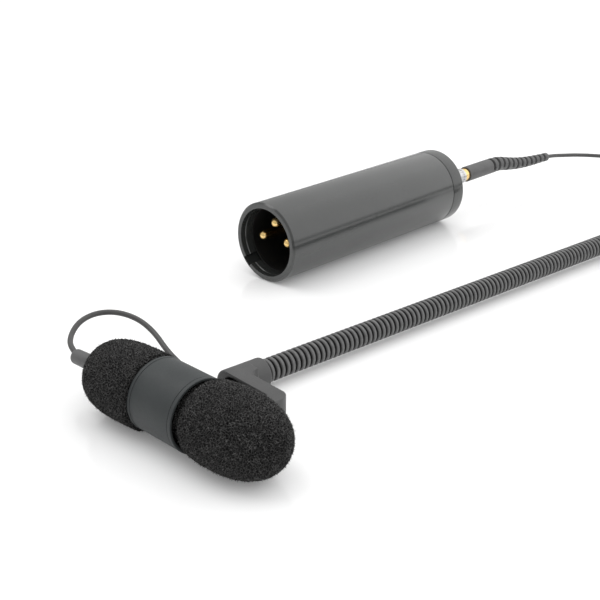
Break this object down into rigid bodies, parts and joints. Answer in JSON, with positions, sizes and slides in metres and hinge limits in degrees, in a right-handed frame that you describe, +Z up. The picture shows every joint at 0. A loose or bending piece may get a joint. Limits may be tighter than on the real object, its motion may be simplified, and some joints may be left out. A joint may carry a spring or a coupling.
{
  "type": "gooseneck instrument microphone",
  "caption": "Clip-on instrument microphone on a ribbed gooseneck, with foam windscreens, a ring holder, a thin cable and an XLR phantom power adapter.",
  "frame": {"origin": "middle of the footprint of the microphone, gooseneck and adapter, without the cord, on the table at Z = 0", "axes": "+X along the gooseneck from the microphone to the cable end, +Z up from the table"},
  "size_m": [0.2304, 0.0876, 0.019],
  "materials": {
    "foam": "open-cell charcoal foam, matt and porous",
    "ring_plastic": "satin dark slate moulding",
    "yoke_plastic": "matt dark grey moulding",
    "gooseneck_sleeve": "ribbed dark grey sleeve, satin crests and dark grooves",
    "cable_jacket": "thin matt grey jacket",
    "soft_rubber": "matt grey moulded rubber",
    "hook_and_loop": "black woven tie",
    "adapter_finish": "fine satin grey finish with a few hairline scratches",
    "gold": "gold plated, polished",
    "nickel": "nickel plated, fine turned lines",
    "mic_metal": "black satin",
    "insert_plastic": "black moulding",
    "board": "green solder mask",
    "component": "black component bodies"
  },
  "bodies": {
    "base": {"gooseneck_coil_1": "gooseneck_sleeve", "gooseneck_lead_1": "cable_jacket", "base_ferrule": "mic_metal", "base_bush": "soft_rubber", "cord_lead_in": "cable_jacket", "cord_coil": "cable_jacket", "coil_tie": "hook_and_loop", "cord_lead_out": "cable_jacket", "strain_relief": "soft_rubber", "plug_sleeve": "soft_rubber", "plug_body": "gold", "plug_pin": "gold", "adapter_shell": "adapter_finish", "adapter_end_cap": "adapter_finish", "xlr_insert": "insert_plastic", "insert_retainer": "nickel", "xlr_pin_1": "gold", "xlr_pin_2": "gold", "xlr_pin_3": "gold", "ground_contact": "nickel", "circuit_board": "board", "board_components": "component", "jack_barrel": "nickel", "jack_insulator": "insert_plastic", "jack_nut": "nickel"},
    "link_2": {"gooseneck_coil_2": "gooseneck_sleeve", "gooseneck_lead_2": "cable_jacket"},
    "link_3": {"gooseneck_coil_3": "gooseneck_sleeve", "gooseneck_lead_3": "cable_jacket"},
    "link_4": {"gooseneck_coil_4": "gooseneck_sleeve", "gooseneck_lead_4": "cable_jacket"},
    "link_5": {"gooseneck_coil_5": "gooseneck_sleeve", "gooseneck_lead_5": "cable_jacket"},
    "link_6": {"gooseneck_coil_6": "gooseneck_sleeve", "gooseneck_lead_6": "cable_jacket"},
    "link_7": {"gooseneck_coil_7": "gooseneck_sleeve", "gooseneck_lead_7": "cable_jacket"},
    "link_8": {"gooseneck_coil_8": "gooseneck_sleeve", "gooseneck_lead_8": "cable_jacket"},
    "link_9": {"gooseneck_coil_9": "gooseneck_sleeve", "gooseneck_lead_9": "cable_jacket"},
    "head": {"gooseneck_coil_10": "gooseneck_sleeve", "gooseneck_lead_10": "cable_jacket", "gooseneck_top_plug": "mic_metal", "holder_yoke": "yoke_plastic", "holder_ring": "ring_plastic", "holder_band": "ring_plastic", "suspension_grommet": "soft_rubber", "mic_housing": "mic_metal", "interference_tube": "mic_metal", "front_grille": "mic_metal", "capsule": "nickel", "diaphragm": "gold", "preamp_board": "board", "tail_cap": "mic_metal", "tail_boot": "soft_rubber", "windscreen_rear": "foam", "mic_cable": "cable_jacket"},
    "windscreen": {"windscreen_front": "foam"},
    "coupling_nut": {"coupling_nut": "nickel"}
  },
  "joints": [
    {"name": "sway_1", "type": "hinge", "parent": "base", "child": "link_2", "pos_m": [0.05705, -0.01248, 0.003], "axis": [0, 0, 1], "range_deg": [-7, 22]},
    {"name": "lift_1", "type": "hinge", "parent": "link_2", "child": "link_3", "pos_m": [0.04425, -0.01248, 0.003], "axis": [0, 1, 0], "range_deg": [0, 22]},
    {"name": "sway_2", "type": "hinge", "parent": "link_3", "child": "link_4", "pos_m": [0.03145, -0.01248, 0.003], "axis": [0, 0, 1], "range_deg": [-7, 22]},
    {"name": "lift_2", "type": "hinge", "parent": "link_4", "child": "link_5", "pos_m": [0.01865, -0.01248, 0.003], "axis": [0, 1, 0], "range_deg": [0, 22]},
    {"name": "sway_3", "type": "hinge", "parent": "link_5", "child": "link_6", "pos_m": [0.00585, -0.01248, 0.003], "axis": [0, 0, 1], "range_deg": [-7, 22]},
    {"name": "lift_3", "type": "hinge", "parent": "link_6", "child": "link_7", "pos_m": [-0.00695, -0.01248, 0.003], "axis": [0, 1, 0], "range_deg": [0, 22]},
    {"name": "sway_4", "type": "hinge", "parent": "link_7", "child": "link_8", "pos_m": [-0.01975, -0.01248, 0.003], "axis": [0, 0, 1], "range_deg": [-7, 22]},
    {"name": "lift_4", "type": "hinge", "parent": "link_8", "child": "link_9", "pos_m": [-0.03255, -0.01248, 0.003], "axis": [0, 1, 0], "range_deg": [0, 22]},
    {"name": "sway_5", "type": "hinge", "parent": "link_9", "child": "head", "pos_m": [-0.04535, -0.01248, 0.003], "axis": [0, 0, 1], "range_deg": [-7, 22]},
    {"name": "windscreen_slide", "type": "slide", "parent": "head", "child": "windscreen", "axis": [0.1201, -0.9928, 0], "range_m": [0, 0.024]},
    {"name": "nut_spin", "type": "hinge", "parent": "base", "child": "coupling_nut", "pos_m": [0.04654, 0.03499, 0.0095], "axis": [0.9964, 0.0851, 0], "continuous": true}
  ]
}
